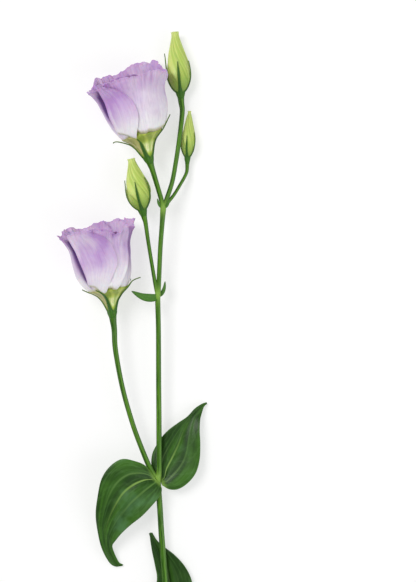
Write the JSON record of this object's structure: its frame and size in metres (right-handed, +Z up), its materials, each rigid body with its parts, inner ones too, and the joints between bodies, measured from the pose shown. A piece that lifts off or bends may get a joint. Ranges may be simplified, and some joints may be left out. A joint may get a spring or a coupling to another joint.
{
  "type": "lisianthus flower",
  "caption": "Cut lisianthus stem lying on a surface, with open lilac blooms, closed green buds, paired leaves and narrow sepals.",
  "frame": {"origin": "on the surface, under the flat spot of the stem near its cut end", "axes": "+Y along the stem from the cut end to the blooms, +X to its right seen from above, +Z up from the surface"},
  "size_m": [0.1118, 0.4914, 0.0629],
  "materials": {
    "stem_green": "satin",
    "leaf_green": "satin",
    "sepal_green": "satin",
    "petal_lilac": "matte",
    "pistil_yellow_green": "satin",
    "bud_pale_green": "matte"
  },
  "bodies": {
    "root": {"stem": "stem_green", "leaf_left": "leaf_green", "leaf_right": "leaf_green", "leaf_low_back": "leaf_green", "leaf_low_side": "leaf_green", "bloom_left_corolla": "petal_lilac", "bloom_left_calyx": "sepal_green", "bloom_left_pistil": "pistil_yellow_green", "bloom_upper_corolla": "petal_lilac", "bloom_upper_calyx": "sepal_green", "bloom_upper_pistil": "pistil_yellow_green", "bud_low_corolla": "bud_pale_green", "bud_low_calyx": "sepal_green", "bud_tall_corolla": "bud_pale_green", "bud_tall_calyx": "sepal_green", "bud_small_corolla": "bud_pale_green", "bud_small_calyx": "sepal_green"}
  },
  "joints": []
}
